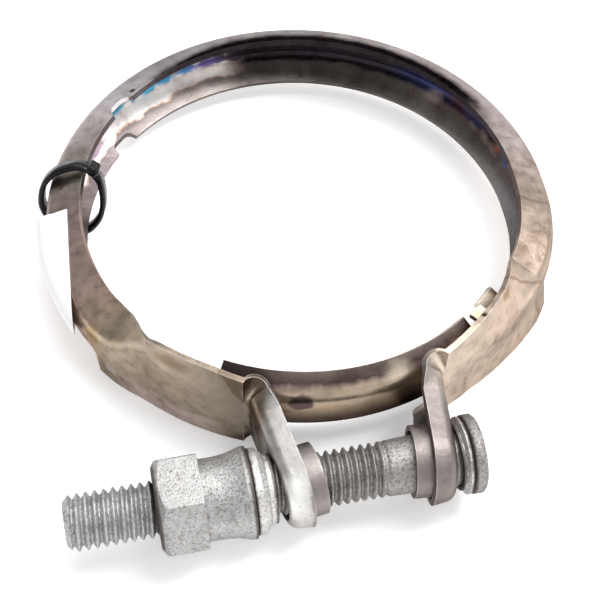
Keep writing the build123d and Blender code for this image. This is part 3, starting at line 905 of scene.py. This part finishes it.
def make_stage():
    floor_height = cad_box[0].z
    corners = [(-FLOOR_REACH, -FLOOR_REACH), (FLOOR_REACH, -FLOOR_REACH),
               (FLOOR_REACH, FLOOR_REACH), (-FLOOR_REACH, FLOOR_REACH)]
    data = bpy.data.meshes.new("floor")
    data.from_pydata([(x, y, floor_height) for x, y in corners], [], [(0, 1, 2, 3)])
    floor = bpy.data.objects.new("floor", data)
    bpy.context.scene.collection.objects.link(floor)
    s = Shader("pale_floor", metallic=0.0, roughness=0.9)
    s.surface.inputs["Specular IOR Level"].default_value = FLOOR_SHINE
    s.surface.inputs["Base Color"].default_value = FLOOR_COLOUR
    s.surface.inputs["Emission Color"].default_value = WHITE
    s.surface.inputs["Emission Strength"].default_value = FLOOR_GLOW
    floor.data.materials.append(s.material)


def make_world():
    """White to the camera, and a soft room, brighter on the right, to everything else."""
    world = bpy.data.worlds.new("studio")
    bpy.context.scene.world = world
    world.use_nodes = True
    nodes, links = world.node_tree.nodes, world.node_tree.links
    background = nodes["Background"]
    coords = nodes.new("ShaderNodeTexCoord")
    parts = nodes.new("ShaderNodeSeparateXYZ")
    links.new(coords.outputs["Generated"], parts.inputs[0])
    room = nodes.new("ShaderNodeMapRange")
    room.interpolation_type = "SMOOTHSTEP"
    room.inputs["From Min"].default_value = -ROOM_SIDE
    room.inputs["From Max"].default_value = ROOM_SIDE
    room.inputs["To Min"].default_value = ROOM_LEFT
    room.inputs["To Max"].default_value = ROOM_RIGHT
    links.new(parts.outputs[0], room.inputs["Value"])
    path = nodes.new("ShaderNodeLightPath")
    pick = nodes.new("ShaderNodeMix")
    links.new(path.outputs["Is Camera Ray"], pick.inputs["Factor"])
    links.new(room.outputs[0], pick.inputs[2])
    pick.inputs[3].default_value = 1.0
    background.inputs[0].default_value = WHITE
    links.new(pick.outputs[0], background.inputs[1])


def make_light(name, place, target, size, power):
    data = bpy.data.lights.new(name, "AREA")
    data.shape = "DISK"
    data.size = size
    data.energy = power
    lamp = bpy.data.objects.new(name, data)
    lamp.location = place
    aim = Vector(target) - Vector(place)
    lamp.rotation_euler = aim.to_track_quat("-Z", "Y").to_euler()
    bpy.context.scene.collection.objects.link(lamp)


def make_camera():
    data = bpy.data.cameras.new("camera")
    data.sensor_fit = "HORIZONTAL"
    data.sensor_width = SENSOR_WIDTH
    data.lens = data.sensor_width * FOCAL_PIXELS / FRAME_PIXELS
    data.clip_start, data.clip_end = CLIP
    camera = bpy.data.objects.new("camera", data)
    right = Vector(CAMERA_RIGHT).normalized()
    back = -Vector(CAMERA_FORWARD).normalized()
    up = back.cross(right).normalized()
    right = up.cross(back)
    turn = Matrix((right, up, back)).transposed()
    camera.matrix_world = Matrix.Translation(CAMERA_PLACE) @ turn.to_4x4()
    bpy.context.scene.collection.objects.link(camera)
    bpy.context.scene.camera = camera


def ends_along_x(node):
    """Both ends of a node along X, in millimetres."""
    return [corner.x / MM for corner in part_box(node)]


def dress(node, material):
    """Gives a CAD node its material."""
    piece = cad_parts[node]
    piece.data.materials.clear()
    piece.data.materials.append(material)


make_camera()
make_world()
make_stage()
for light in LIGHTS:
    make_light(*light)
bpy.context.scene.view_settings.view_transform = "Standard"

nut_ends = ends_along_x("collar_nut")
head_ends = ends_along_x("head_sleeve")
nut_grey = fastener_material("zinc_flake_nut", (0.46, 0.455, 0.45), (0.27, 0.26, 0.25), 0.03, nut_ends)
sleeve_grey = fastener_material("zinc_flake_sleeve", (0.66, 0.65, 0.64), (0.40, 0.385, 0.37), 0.02,
                                ends_along_x("nut_sleeve") + head_ends)
bolt_grey = fastener_material("zinc_flake_bolt", (0.53, 0.53, 0.53), (0.24, 0.24, 0.24), 0.03,
                              nut_ends[:1] + head_ends, worn_x=(-26.0, -4.0))
dress("clamp_band", band_material())
dress("bridge_insert", insert_material())
dress("collar_nut", nut_grey)
dress("nut_sleeve", sleeve_grey)
dress("head_sleeve", sleeve_grey)
dress("paper_label", label_material())

bolt = make_bolt(bolt_grey)
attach(bolt, "clamp")
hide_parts("clamp_bolt")

tie = make_tie(tie_material())
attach(tie, "clamp")
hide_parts("cable_tie")
